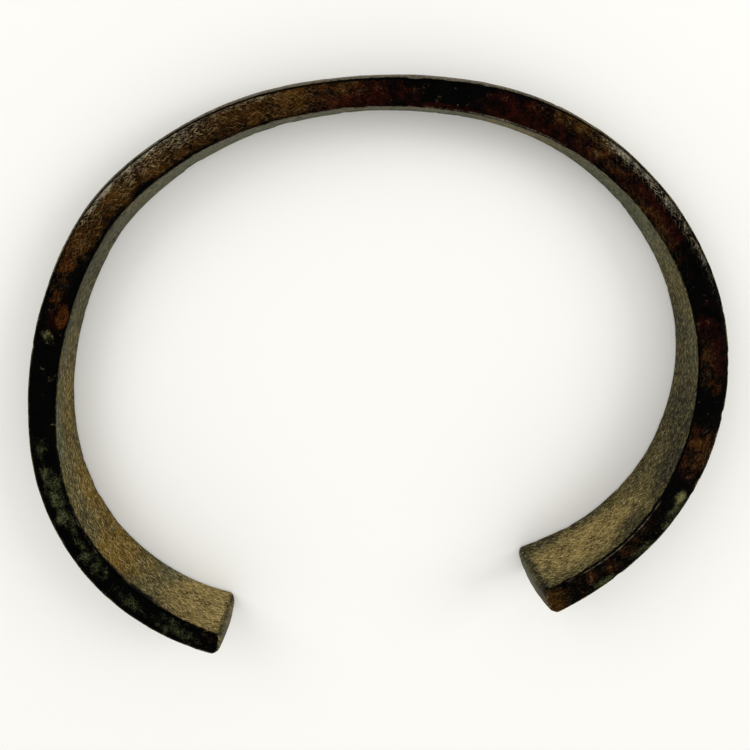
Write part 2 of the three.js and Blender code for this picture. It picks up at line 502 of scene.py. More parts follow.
# Patina of the inner wall.
INNER_PATCHES = (
    *laid(
        Tone.TAN, Face.INNER,
        (2.0, 5.0, 0.45, 0.6, 0.95), (99.0, 5.0, 0.6, 0.35, 0.5),
        (158.0, 6.5, 0.5, 0.32, 0.85),
    ),
    *laid(
        Tone.OCHRE, Face.INNER,
        (15.0, 3.0, 0.45, 0.45, 0.9), (20.0, 9.0, 0.75, 0.3, 0.65),
        (33.0, 6.0, 0.7, 0.35, 0.45),
    ),
    *laid(
        Tone.GREY, Face.INNER,
        (7.7, 2.0, 0.85, 0.22, 0.65), (31.0, 4.0, 0.1, 0.22, 0.7),
        (41.0, 5.0, 0.05, 0.35, 0.6), (52.0, 8.0, 0.4, 0.9, 0.65),
        (70.0, 12.0, 0.5, 0.9, 0.9), (92.0, 12.0, 0.5, 0.9, 0.9),
        (112.0, 9.0, 0.5, 0.9, 0.75), (131.0, 5.0, 0.4, 0.6, 0.5),
    ),
    *laid(
        Tone.DARK, Face.INNER,
        (0.2, 0.5, 0.5, 0.7, 0.8), (30.0, 9.0, 1.0, 0.2, 0.42),
        (46.5, 9.0, 0.05, 0.4, 0.68), (49.0, 10.0, 0.7, 0.7, 0.49),
        (131.0, 7.5, 0.75, 0.5, 0.56), (139.0, 5.5, 0.5, 0.9, 0.66),
        (144.5, 4.5, 0.2, 0.35, 0.75), (146.5, 4.0, 0.95, 0.3, 0.5),
        (153.0, 2.6, 0.15, 0.2, 0.6), (155.5, 5.0, 1.0, 0.2, 0.55),
        (162.5, 2.8, 1.0, 0.26, 0.62), (164.7, 0.6, 0.5, 0.7, 0.9),
    ),
    *laid(
        Tone.SKIN, Face.INNER,
        (6.8, 1.6, 0.0, 0.06, 1.1), (10.0, 2.4, 0.0, 0.1, 1.2),
        (14.0, 2.2, 0.0, 0.07, 1.1), (19.0, 1.5, 0.0, 0.05, 0.7),
    ),
)
# Patina of the outer wall, which carries more of the rim's dark coat towards its middle.
OUTER_PATCHES = (
    *laid(
        Tone.DARK, Face.OUTER,
        (12.0, 9.0, 0.5, 0.4, 0.75), (36.0, 9.0, 0.6, 0.5, 0.8),
        (66.0, 8.0, 0.8, 0.35, 0.65), (95.0, 9.0, 0.6, 0.4, 0.8),
        (122.0, 8.0, 0.45, 0.45, 0.8), (146.0, 8.0, 0.6, 0.4, 0.75),
    ),
    *laid(Tone.OCHRE, Face.OUTER, (47.0, 4.0, 0.4, 0.3, 0.5)),
    # Painted reflection: the pale top of the outer wall along the back, where its rounded edge catches
    # the light.
    *laid(Tone.BARE_AND_SHEEN, Face.OUTER, (77.0, 32.0, 0.05, 0.34, 1.0)),
    *laid(
        Tone.TAN, Face.OUTER,
        (108.0, 4.0, 0.5, 0.3, 0.5), (160.0, 4.0, 0.4, 0.4, 0.55),
    ),
    *laid(
        Tone.GREY, Face.OUTER,
        (30.0, 18.0, 0.5, 0.6, 0.55), (78.0, 34.0, 0.7, 0.5, 0.65),
        (130.0, 20.0, 0.5, 0.6, 0.55),
    ),
)
# Patina of the cut ends, and thin lines along the rim's edges: dark ones, and pale ones that are partly
# rubbed metal and partly a painted highlight where the edge catches the light.
EDGE_PATCHES = (
    *laid(
        Tone.GREY, Face.TERMINAL,
        (0.0, 3.0, 0.5, 0.6, 0.45), (165.0, 3.0, 0.4, 0.6, 0.9),
    ),
    *laid(Tone.BROWN, Face.TERMINAL, (165.0, 3.0, 0.0, 0.3, 0.9)),
    *laid(
        Tone.DARK, Face.END_EDGE,
        (0.0, 3.0, 0.8, 0.35, 0.8), (165.0, 3.0, 0.5, 0.9, 1.0),
    ),
    *laid(
        Tone.SKIN, Face.INNER_EDGE,
        (10.5, 9.0, 0.0, 0.3, 1.2), (30.0, 9.0, 0.0, 0.3, 0.7),
        (46.0, 7.0, 0.0, 0.3, 0.8), (144.0, 19.0, 0.0, 0.3, 1.1),
    ),
    # Pale lines along the rim's inner edge: rubbed metal, and a painted highlight where the edge
    # catches the light.
    *laid(
        Tone.BARE_AND_SHEEN, Face.INNER_LINE,
        (20.0, 2.5, 0.0, 0.3, 0.45), (96.0, 7.0, 0.0, 0.3, 0.62),
        (156.0, 6.5, 0.0, 0.3, 0.58),
    ),
    *laid(Tone.BARE_AND_SHEEN, Face.INNER_EDGE, (81.0, 26.0, 0.0, 0.3, 0.9)),
    *laid(Tone.SKIN, Face.OUTER_LIP, (77.0, 34.0, 0.0, 0.3, 1.0)),
)
PATCHES = RIM_PATCHES + INNER_PATCHES + OUTER_PATCHES + EDGE_PATCHES


@dataclass(frozen=True)
class Nick:
    """A small dent: its place along the bar, its height share, its half sizes and its depth."""

    at: float
    level: float
    face: Face
    reach: float
    rise: float
    depth: float


@dataclass(frozen=True)
class ForgedRelief:
    """Relief of a hand-forged and long buried bar, in millimetres out of its surface."""

    octaves: int = 2
    wear_octaves: int = 3
    swell_noise: LatticeNoise = LatticeNoise(3)
    swell_length: float = 11.0
    swell: float = 0.05
    hammer_noise: LatticeNoise = LatticeNoise(5)
    hammer_length: float = 3.2
    hammer: float = 0.03
    # The surface is sunk a little, so that most swells stay inside the solid's box.
    sink: float = 0.04
    grain_noise: LatticeNoise = LatticeNoise(7)
    grain_length: float = 0.7
    grain: float = 0.014
    # Share of the grain that is rubbed off the foot.
    foot_rub: float = 0.7
    pit_noise: LatticeNoise = LatticeNoise(11)
    pit_length: float = 1.1
    pit_depth: float = 0.07
    pit_threshold: float = 0.42
    wear_noise: LatticeNoise = LatticeNoise(13)
    wear_length: float = 1.9
    wear_window: tuple[float, float] = (-0.2, 0.9)
    edge_wear: float = 0.07
    rim_fall: float = 0.13
    rim_fall_share: float = 0.55
    burr: float = 0.09
    burr_at: float = 98.0
    burr_reach: float = 5.0
    # The burr is gone past the first of these distances and whole within the second, each
    # measured in its reach.
    burr_fade: tuple[float, float] = (1.6, 0.4)
    # A nick's height share becomes millimetres at the band's usual height.
    band_height: float = 6.0
    # How deep a nick bites into an edge beside its face.
    edge_bite: float = 0.7
    nicks: tuple[Nick, ...] = (
        Nick(64.2, 0.0, Face.INNER, 0.9, 1.0, 0.28),
        Nick(74.9, 0.0, Face.INNER, 0.8, 0.9, 0.24),
        Nick(51.8, 0.32, Face.INNER, 0.6, 0.32, 0.22),
        Nick(17.0, 0.0, Face.INNER, 1.0, 0.8, 0.15),
        Nick(21.6, 0.0, Face.INNER, 0.8, 0.7, 0.16),
        Nick(88.0, 1.0, Face.OUTER, 0.7, 0.7, 0.15),
        Nick(133.0, 0.55, Face.OUTER, 0.5, 0.6, 0.15),
        Nick(29.0, 0.4, Face.OUTER, 0.6, 0.6, 0.16),
    )

    def displace(
        self,
        points: np.ndarray,
        along: np.ndarray,
        level: np.ndarray,
        rim_share: np.ndarray,
        masks: dict[str, np.ndarray],
    ) -> np.ndarray:
        """Works out how far each point moves out along its normal.

        A nick is its depth times exp(-d^4) of the distance d from its middle, measured in
        its own half sizes.

        Args:
            points: The smooth surface.
            along: Distance of each point from the left terminal.
            level: Height of each point as a share of the band's height.
            rim_share: Distance in from the rim's outer edge as a share of the thickness.
            masks: How far each point belongs to each face, and to an edge.

        Returns:
            The displacement in millimetres, negative into the metal.
        """
        swell = self.swell_noise.sample(points, self.swell_length, self.octaves) * self.swell
        hammer = self.hammer_noise.sample(points, self.hammer_length, self.octaves) * self.hammer
        forged = (swell + hammer - self.sink) * (1.0 - masks["foot"])
        grain = self.grain_noise.sample(points, self.grain_length, self.octaves) * self.grain
        grain = grain * (1.0 - self.foot_rub * masks["foot"])
        pitted = self.pit_noise.sample(points, self.pit_length, self.octaves)
        pits = -self.pit_depth * smoothstep(self.pit_threshold, 1.0, pitted)
        worn = self.wear_noise.sample(points, self.wear_length, self.wear_octaves)
        edge = -self.edge_wear * masks["edge"] * smoothstep(*self.wear_window, worn)
        from_burr = np.abs(along - self.burr_at) / self.burr_reach
        burr = self.burr * masks["burr"] * smoothstep(*self.burr_fade, from_burr)
        # The rim falls away towards its outer edge, as the square of the distance.
        fall = np.clip(1.0 - rim_share / self.rim_fall_share, 0.0, 1.0) ** 2
        upper_edge = masks["edge"] * (level > 0.5)
        fall = -self.rim_fall * fall * np.maximum(masks["rim"], upper_edge)
        total = forged + grain + pits + edge + burr + fall
        for nick in self.nicks:
            rise = (level - nick.level) * self.band_height / nick.rise
            near = ((along - nick.at) / nick.reach) ** 2 + rise**2
            on_face = np.maximum(masks[nick.face.value], masks["edge"] * self.edge_bite)
            total = total - nick.depth * np.exp(-(near**2)) * on_face
        return total


@dataclass(frozen=True)
class Coat:
    """One coat's look: its deep and pale shades, its metallic share and its roughness.

    Its margin is half the width of its ragged edge, as a share of its strength.
    """

    deep: str
    pale: str
    metallic: float
    roughness: float
    margin: float = 0.3


@dataclass(frozen=True)
class Texture:
    """Sockets of the noises that the patina's colour, gloss and relief share."""

    in_mm: Socket
    cloud: Socket
    fleck: Socket
    swing: Socket
    brushed: Socket
    hairline: Socket


@dataclass(frozen=True)
class Layers:
    """Sockets of the coats laid over one another, and of the walls' share."""

    deep: Socket
    pale: Socket
    metallic: Socket
    roughness: Socket
    on_wall: Socket


@dataclass(frozen=True)
class IronPatina:
    """Forged iron under an old burial patina, handled smooth.

    The rim keeps a glossy, near black magnetite skin with red-brown haematite, rust and
    flecked olive mineral crusts, rubbed to grey along its outer edge, where a painted sheen
    stands in for the light that the edge catches; its pale specks are mineral grains as well
    as painted glints. The walls are scoured to a dull olive tan by wear, with fine crossing
    scratches.
    """

    skin: Coat = Coat("#000000", "#030302", 0.0, 0.26)
    wall: Coat = Coat("#292411", "#645a33", 0.2, 0.5, 0.1)
    coats: dict[Tone, Coat] = field(
        default_factory=lambda: {
            Tone.GREY: Coat("#282a1c", "#5e6148", 0.25, 0.48),
            Tone.OCHRE: Coat("#332508", "#7d6220", 0.15, 0.55),
            Tone.TAN: Coat("#3c3116", "#a08b54", 0.2, 0.52),
            Tone.DARK: Coat("#100f09", "#35321f", 0.2, 0.45),
            Tone.RED: Coat("#060101", "#2a0b04", 0.0, 0.34),
            Tone.BROWN: Coat("#0f0702", "#422a0b", 0.1, 0.42),
            Tone.OLIVE: Coat("#050603", "#4c4f32", 0.0, 0.5),
            Tone.RUST: Coat("#220f05", "#56300d", 0.0, 0.55),
            # Its pale shade also paints the sheen of the lights on the rim's outer edge.
            Tone.WORN_SHEEN: Coat("#14100b", "#7c7566", 0.2, 0.42),
            Tone.VERDIGRIS: Coat("#101006", "#6c6842", 0.0, 0.7),
            # Its pale shade also paints highlights and the back bevel's reflection.
            Tone.BARE_AND_SHEEN: Coat("#3c362a", "#6a6150", 0.2, 0.42),
            Tone.SKIN: Coat("#000000", "#030302", 0.0, 0.26),
        }
    )
    # Very little clear reflection, because it would grey the near black skin.
    specular: float = 0.012

    # Clouds, ragged margins and crust grains, each with its detail. Grains are finer than
    # 0.1 mm; they are drawn at 0.14 mm so that they show.
    cloud_mm: float = 2.2
    cloud_detail: float = 3.0
    ragged_mm: float = 1.1
    ragged_detail: float = 5.0
    fleck_mm: float = 0.14
    fleck_detail: float = 1.0
    noise_roughness: float = 0.65
    # How far the ragged noise and the flecks swing a coat's margin.
    margin_swing: tuple[float, ...] = (1.35, 0.45)
    margin_middles: tuple[float, ...] = (0.5, 0.5)

    # How far clouds, flecks and brushing sway the shade, on the rim and on the walls.
    rim_sway: tuple[float, ...] = (1.1, 1.0, 1.1)
    wall_sway: tuple[float, ...] = (0.6, 0.6, 2.0)
    # The middles of those noises; the stronger of two brushings lies a little higher.
    sway_middles: tuple[float, ...] = (0.5, 0.5, 0.535)
    shade_window: tuple[float, float] = (-0.19, 0.27)

    # Neighbouring grains differ in hue too, from red haematite to the green of a crust.
    tint_mm: float = 0.25
    tint_detail: float = 1.0
    tint_window: tuple[float, float] = (0.35, 0.65)
    redder: tuple[float, float, float, float] = (1.1, 0.75, 0.7, 1.0)
    greener: tuple[float, float, float, float] = (0.85, 1.1, 1.0, 1.0)

    # Brushed scratches are about 0.04 mm wide; they are drawn at 0.11 mm so that they show.
    scratch_width_mm: float = 0.11
    scratch_length_mm: float = 0.65
    scratch_waver: float = 0.8
    scratch_detail: float = 1.0
    # The second direction's scratches are moved by this, to differ from the first one's.
    scratch_shift: tuple[float, float, float] = (13.0, 7.0, 0.0)
    scratch_angles: tuple[float, ...] = (-14.0, 34.0)
    scratch_colour: str = "#bfad7c"
    # Single scratches show where the brushing passes this window, at most by this share.
    hairline_window: tuple[float, float] = (0.61, 0.7)
    hairline_share: float = 0.9

    # Pale specks, mineral grains as well as painted glints, sit in the few cells past a chance; their
    # radii are shares of a cell.
    speck_cell_mm: float = 0.6
    speck_radii: tuple[float, float] = (0.16, 0.04)
    speck_chance: float = 0.9
    speck_share: float = 0.2
    speck_glint_colour: str = "#8f8d7c"

    # Relief fades out over this window of roughness, where the skin is glossy.
    relief_window: tuple[float, float] = (0.24, 0.5)
    relief_mm: float = 0.03
    relief_strength: float = 0.6
    # Flecks within the window change the roughness between these two values.
    gloss_window: tuple[float, float] = (0.3, 0.7)
    gloss_swing: tuple[float, float] = (-0.06, 0.1)

    def material(self) -> bpy.types.Material:
        """Builds the material, which reads the bar's UV map and its patina attributes.

        Returns:
            The material.
        """
        material = bpy.data.materials.new("forged_iron_patina")
        material.use_nodes = True
        tree = material.node_tree
        tree.nodes.clear()
        texture = self.textures(tree)
        layers = self.layers(tree, texture.swing)
        mottle = self.mottle(tree, texture, layers.on_wall)
        speck_glint = self.specks_and_glints(tree, texture.in_mm)
        low, high = self.gloss_window
        swing = add_node(
            tree, "ShaderNodeMapRange",
            {
                "Value": texture.fleck,
                "From Min": low,
                "From Max": high,
                "To Min": self.gloss_swing[0],
                "To Max": self.gloss_swing[1],
            },
        ).outputs["Result"]
        roughness = add_node(
            tree, "ShaderNodeMath", {0: layers.roughness, 1: swing}, operation="ADD"
        ).outputs[0]
        shader = add_node(
            tree, "ShaderNodeBsdfPrincipled",
            {
                "Base Color": self.colour(tree, texture, layers, mottle, speck_glint),
                "Metallic": layers.metallic,
                "Roughness": roughness,
                "Specular IOR Level": self.specular,
                "Normal": self.fine_relief(tree, mottle, layers.roughness, speck_glint),
            },
        )
        add_node(tree, "ShaderNodeOutputMaterial", {"Surface": shader.outputs["BSDF"]})
        return material

    def textures(self, tree: Tree) -> Texture:
        """Draws the noises in the metal, and the brushing along the bar.

        Args:
            tree: The material's node tree.

        Returns:
            The noises' sockets.
        """
        place = add_node(tree, "ShaderNodeTexCoord").outputs["Object"]
        uv = add_node(tree, "ShaderNodeUVMap", uv_map="bar").outputs["UV"]
        in_mm, on_bar = (
            add_node(
                tree, "ShaderNodeVectorMath", {0: source, 1: (scale,) * 3}, operation="MULTIPLY"
            ).outputs["Vector"]
            for source, scale in ((place, 1 / MM), (uv, 1 / UV_PER_MM))
        )
        cloud, ragged, fleck = (
            add_node(
                tree, "ShaderNodeTexNoise",
                {
                    "Vector": in_mm,
                    "Scale": 1 / size,
                    "Detail": detail,
                    "Roughness": self.noise_roughness,
                },
            ).outputs["Fac"]
            for size, detail in (
                (self.cloud_mm, self.cloud_detail),
                (self.ragged_mm, self.ragged_detail),
                (self.fleck_mm, self.fleck_detail),
            )
        )
        swing = self.weighed(tree, (ragged, fleck), self.margin_swing, self.margin_middles)
        brushed, hairline = self.brushing(tree, on_bar)
        return Texture(in_mm, cloud, fleck, swing, brushed, hairline)

    @staticmethod
    def weighed(
        tree: Tree, noises: tuple[Socket, ...], weights: tuple[float, ...], middles: tuple[float, ...]
    ) -> Socket:
        """Adds up noises by their weights, each measured from its middle.

        Args:
            tree: The material's node tree.
            noises: The noises' sockets.
            weights: Each noise's weight.
            middles: Each noise's middle value.

        Returns:
            The sum, which swings around zero.
        """
        total = -float(np.dot(weights, middles))
        for noise, weight in zip(noises, weights):
            total = add_node(
                tree, "ShaderNodeMath", {0: noise, 1: weight, 2: total}, operation="MULTIPLY_ADD"
            ).outputs[0]
        return total

    def brushing(self, tree: Tree, on_bar: Socket) -> tuple[Socket, Socket]:
        """Draws crossing scratches: in each direction, a noise drawn out along its length.

        Args:
            tree: The material's node tree.
            on_bar: Millimetres along the bar and around its section.

        Returns:
            The stronger of the two directions' noises, and the few single scratches
            where it passes a threshold.
        """
        scale = (1.0 / self.scratch_length_mm, 1.0 / self.scratch_width_mm, 1.0)
        streaks = []
        for number, angle in enumerate(self.scratch_angles):
            turned = add_node(
                tree, "ShaderNodeMapping",
                {
                    "Vector": on_bar,
                    "Location": np.multiply(self.scratch_shift, number),
                    "Rotation": (0.0, 0.0, np.radians(angle)),
                },
            ).outputs["Vector"]
            drawn = add_node(
                tree, "ShaderNodeVectorMath", {0: turned, 1: scale}, operation="MULTIPLY"
            ).outputs["Vector"]
            streaks.append(
                add_node(
                    tree, "ShaderNodeTexNoise",
                    {
                        "Vector": drawn,
                        "Scale": 1.0,
                        "Detail": self.scratch_detail,
                        "Distortion": self.scratch_waver,
                    },
                ).outputs["Fac"]
            )
        strongest = add_node(
            tree, "ShaderNodeMath", {0: streaks[0], 1: streaks[1]}, operation="MAXIMUM"
        ).outputs[0]
        low, high = self.hairline_window
        single = add_node(
            tree, "ShaderNodeMapRange",
            {"Value": strongest, "From Min": low, "From Max": high, "To Max": self.hairline_share},
        ).outputs["Result"]
        return strongest, single

    @staticmethod
    def cover(tree: Tree, attribute: str, swing: Socket, margin: float) -> Socket:
        """Turns a smooth attribute into a cover with ragged margins.

        Args:
            tree: The material's node tree.
            attribute: The attribute to read.
            swing: Noise around zero that is added before the threshold at a half.
            margin: Half the width of the margin.

        Returns:
            The cover, from 0 to 1.
        """
        smooth = add_node(tree, "ShaderNodeAttribute", attribute_name=attribute).outputs["Fac"]
        raised = add_node(tree, "ShaderNodeMath", {0: smooth, 1: swing}, operation="ADD").outputs[0]
        return add_node(
            tree, "ShaderNodeMapRange",
            {"Value": raised, "From Min": 0.5 - margin, "From Max": 0.5 + margin},
            interpolation_type="SMOOTHSTEP",
        ).outputs["Result"]

    def layers(self, tree: Tree, swing: Socket) -> Layers:
        """Lays the scoured walls and then each tone over the skin of the rim and foot.

        Args:
            tree: The material's node tree.
            swing: Noise that makes the coats' margins ragged.

        Returns:
            The sockets of the finished layers.
        """
        deep, pale = linear(self.skin.deep), linear(self.skin.pale)
        metallic, roughness = self.skin.metallic, self.skin.roughness
        coats = {"wall": self.wall} | {tone.value: coat for tone, coat in self.coats.items()}
        covers = {name: self.cover(tree, name, swing, coat.margin) for name, coat in coats.items()}
        for name, coat in coats.items():
            deep, pale = (
                add_node(
                    tree, "ShaderNodeMix",
                    {"Factor": covers[name], 6: below, 7: linear(shade)}, data_type="RGBA",
                ).outputs[2]
                for below, shade in ((deep, coat.deep), (pale, coat.pale))
            )
            metallic, roughness = (
                add_node(tree, "ShaderNodeMix", {0: covers[name], 2: below, 3: own}).outputs[0]
                for below, own in ((metallic, coat.metallic), (roughness, coat.roughness))
            )
        return Layers(deep, pale, metallic, roughness, covers["wall"])

    def mottle(self, tree: Tree, texture: Texture, on_wall: Socket) -> Socket:
        """Weighs clouds, flecks and brushing into one noise, other on the walls than on the rim.

        Args:
            tree: The material's node tree.
            texture: The noises.
            on_wall: The walls' share.

        Returns:
            The noise that chooses a tone's shade and raises its relief.
        """
        noises = (texture.cloud, texture.fleck, texture.brushed)
        rim, wall = (
            self.weighed(tree, noises, weights, self.sway_middles)
            for weights in (self.rim_sway, self.wall_sway)
        )
        return add_node(tree, "ShaderNodeMix", {0: on_wall, 2: rim, 3: wall}).outputs[0]

    def specks_and_glints(self, tree: Tree, in_mm: Socket) -> Socket:
        """Scatters tiny pale specks, mineral grains as well as painted glints: a dot in each of the few
        cells that have one.

        Args:
            tree: The material's node tree.
            in_mm: Places in millimetres.

        Returns:
            The specks' cover.
        """
        scatter = add_node(
            tree, "ShaderNodeTexVoronoi", {"Vector": in_mm, "Scale": 1 / self.speck_cell_mm}
        )
        edge, full = self.speck_radii
        dot = add_node(
            tree, "ShaderNodeMapRange",
            {"Value": scatter.outputs["Distance"], "From Min": edge, "From Max": full},
        ).outputs["Result"]
        chance = add_node(tree, "ShaderNodeSeparateColor", {0: scatter.outputs["Color"]}).outputs[0]
        chosen = add_node(
            tree, "ShaderNodeMapRange",
            {"Value": chance, "From Min": self.speck_chance, "To Max": self.speck_share},
        ).outputs["Result"]
        return add_node(tree, "ShaderNodeMath", {0: chosen, 1: dot}, operation="MULTIPLY").outputs[0]

    def colour(
        self, tree: Tree, texture: Texture, layers: Layers, mottle: Socket, speck_glint: Socket
    ) -> Socket:
        """Colours the patina: its shade, its hue from grain to grain, scratches, and specks that are
        partly painted glints.

        Args:
            tree: The material's node tree.
            texture: The noises.
            layers: The coats.
            mottle: The noise that chooses between a tone's deep and pale shades.
            speck_glint: The specks' cover.

        Returns:
            The colour.
        """
        low, high = self.shade_window
        share = add_node(
            tree, "ShaderNodeMapRange", {"Value": mottle, "From Min": low, "From Max": high}
        ).outputs["Result"]
        colour = add_node(
            tree, "ShaderNodeMix",
            {"Factor": share, 6: layers.deep, 7: layers.pale}, data_type="RGBA",
        ).outputs[2]
        hue = add_node(
            tree, "ShaderNodeTexNoise",
            {"Vector": texture.in_mm, "Scale": 1 / self.tint_mm, "Detail": self.tint_detail},
        ).outputs["Fac"]
        low, high = self.tint_window
        hue = add_node(
            tree, "ShaderNodeMapRange", {"Value": hue, "From Min": low, "From Max": high}
        ).outputs["Result"]
        tint = add_node(
            tree, "ShaderNodeMix", {"Factor": hue, 6: self.redder, 7: self.greener}, data_type="RGBA"
        ).outputs[2]
        rusty, rubbed = (
            add_node(tree, "ShaderNodeAttribute", attribute_name=name).outputs["Fac"]
            for name in ("rusty", "rubbed")
        )
        colour = add_node(
            tree, "ShaderNodeMix",
            {"Factor": rusty, 6: colour, 7: tint}, data_type="RGBA", blend_type="MULTIPLY",
        ).outputs[2]
        scratch = add_node(
            tree, "ShaderNodeMath", {0: texture.hairline, 1: rubbed}, operation="MULTIPLY"
        ).outputs[0]
        for cover, shade in ((scratch, self.scratch_colour), (speck_glint, self.speck_glint_colour)):
            colour = add_node(
                tree, "ShaderNodeMix", {"Factor": cover, 6: colour, 7: linear(shade)}, data_type="RGBA"
            ).outputs[2]
        return colour

    def fine_relief(self, tree: Tree, mottle: Socket, roughness: Socket, speck_glint: Socket) -> Socket:
        """Raises relief finer than the mesh: grain of the crust, brushing and specks.

        Args:
            tree: The material's node tree.
            mottle: The noise of grain and brushing.
            roughness: The coats' roughness; where it is low, the skin stays smooth.
            speck_glint: The specks' cover.

        Returns:
            The bumped normal.
        """
        low, high = self.relief_window
        dull = add_node(
            tree, "ShaderNodeMapRange", {"Value": roughness, "From Min": low, "From Max": high}
        ).outputs["Result"]
        height = add_node(
            tree, "ShaderNodeMath", {0: mottle, 1: dull, 2: speck_glint}, operation="MULTIPLY_ADD"
        ).outputs[0]
        return add_node(
            tree, "ShaderNodeBump",
            {
                "Height": height,
                "Strength": self.relief_strength,
                "Distance": self.relief_mm * MM,
            },
        ).outputs["Normal"]


@dataclass(frozen=True)
class BarSurface:
    """The bar's smooth surface, before its relief.

    Attributes:
        rows: Section points, row after row from the left end to the right.
        places: Each point's place along the bar.
        level: Each point's height share.
        edge: The rim's outer edge at each row.
        heading: The bar's heading at each row, in radians.
    """

    rows: np.ndarray
    places: np.ndarray
    level: np.ndarray
    edge: np.ndarray
    heading: np.ndarray

    def normals(self) -> np.ndarray:
        """Works out the normals: the cross product of the steps around and along.

        Returns:
            One unit vector for each point, pointing outwards.
        """
        around = np.roll(self.rows, -1, axis=1) - np.roll(self.rows, 1, axis=1)
        along = np.gradient(self.rows, axis=0)
        normal = np.cross(along, around)
        return normal / np.maximum(np.linalg.norm(normal, axis=-1, keepdims=True), 1e-9)

    def level_part(self, vectors: np.ndarray, turn: float) -> np.ndarray:
        """Measures vectors along the bar's heading, turned by an angle about the vertical.

        Args:
            vectors: One vector for each point.
            turn: The angle in radians, to the left.

        Returns:
            The vectors' length in that direction.
        """
        angle = self.heading + turn
        direction = np.stack([np.cos(angle), np.sin(angle)], axis=-1)
        return np.einsum("sij,sj->si", vectors[..., :2], direction)


@dataclass(frozen=True)
class Window:
    """A range with soft ends: each pair says where it is shut, and then where it is open."""

    opens: tuple[float, float]
    closes: tuple[float, float]

    def share(self, value: np.ndarray) -> np.ndarray:
        """Gives 1 inside the range and 0 outside it, eased at both ends."""
        return smoothstep(*self.opens, value) * smoothstep(*self.closes, value)


@dataclass(frozen=True)
class FaceMap:
    """Tells the bar's faces apart by the way that its surface faces.

    A pair of numbers is the share of the normal where a face begins and where it is whole.
    """

    flat: tuple[float, float] = (0.5, 0.85)
    wall: tuple[float, float] = (0.72, 0.95)
    burr: tuple[float, float] = (0.2, 0.6)
    # How far from an end of the bar its cut end begins, and where it is whole.
    near_end: tuple[float, float] = (1.2, 0.6)
    # Along the back, the rim's rounded outer edge takes the colour of the wall, as far as the surface
    # doesn't turn under: a painted reflection of the light that the edge catches.
    back: Window = Window((44.0, 50.0), (112.0, 104.0))
    sheen_strip_facing: tuple[float, float] = (0.5, 0.8)
    turned_under: float = -0.5
    # Round the rim's edges, 0 degrees faces up, 90 faces in and -90 faces out.
    inner_line: Window = Window((12.0, 24.0), (48.0, 36.0))
    inner_edge: Window = Window((40.0, 54.0), (90.0, 78.0))
    outer_lip: Window = Window((10.0, 20.0), (54.0, 42.0))

    def masks(self, surface: BarSurface, length: float) -> dict[str, np.ndarray]:
        """Says how far each point belongs to each face, to an edge and to a terminal.

        Args:
            surface: The smooth surface.
            length: The bar's length.

        Returns:
            Masks from 0 to 1 by name.
        """
        normal = surface.normals()
        up = normal[..., 2]
        facing_in = surface.level_part(normal, -np.pi / 2.0)
        facing_end = np.abs(surface.level_part(normal, 0.0))
        from_end = np.minimum(surface.places, length - surface.places)
        near_end = smoothstep(*self.near_end, from_end)
        masks = {
            "rim": smoothstep(*self.flat, up),
            "foot": smoothstep(*self.flat, -up),
            "inner": smoothstep(*self.wall, facing_in),
            "outer": smoothstep(*self.wall, -facing_in),
            "terminal": smoothstep(*self.flat, facing_end) * near_end,
        }
        # Painted reflection: the wall's colour spread over the back's rounded outer edge.
        sheen_strip = smoothstep(*self.sheen_strip_facing, -facing_in) * self.back.share(surface.places)
        masks["outer"] = np.maximum(masks["outer"], sheen_strip * (up > self.turned_under))
        masks["edge"] = np.clip(1.0 - sum(masks.values()), 0.0, 1.0)
        masks["burr"] = smoothstep(*self.burr, facing_in) * smoothstep(*self.burr, up)
        masks["end_edge"] = masks["edge"] * near_end
        tilt = np.degrees(np.arctan2(facing_in, up))
        masks["inner_line"] = self.inner_line.share(tilt)
        masks["inner_edge"] = self.inner_edge.share(tilt)
        masks["outer_lip"] = self.outer_lip.share(-tilt)
        masks["wall"] = np.clip(masks["inner"] + masks["outer"] + masks["terminal"], 0.0, 1.0)
        return masks


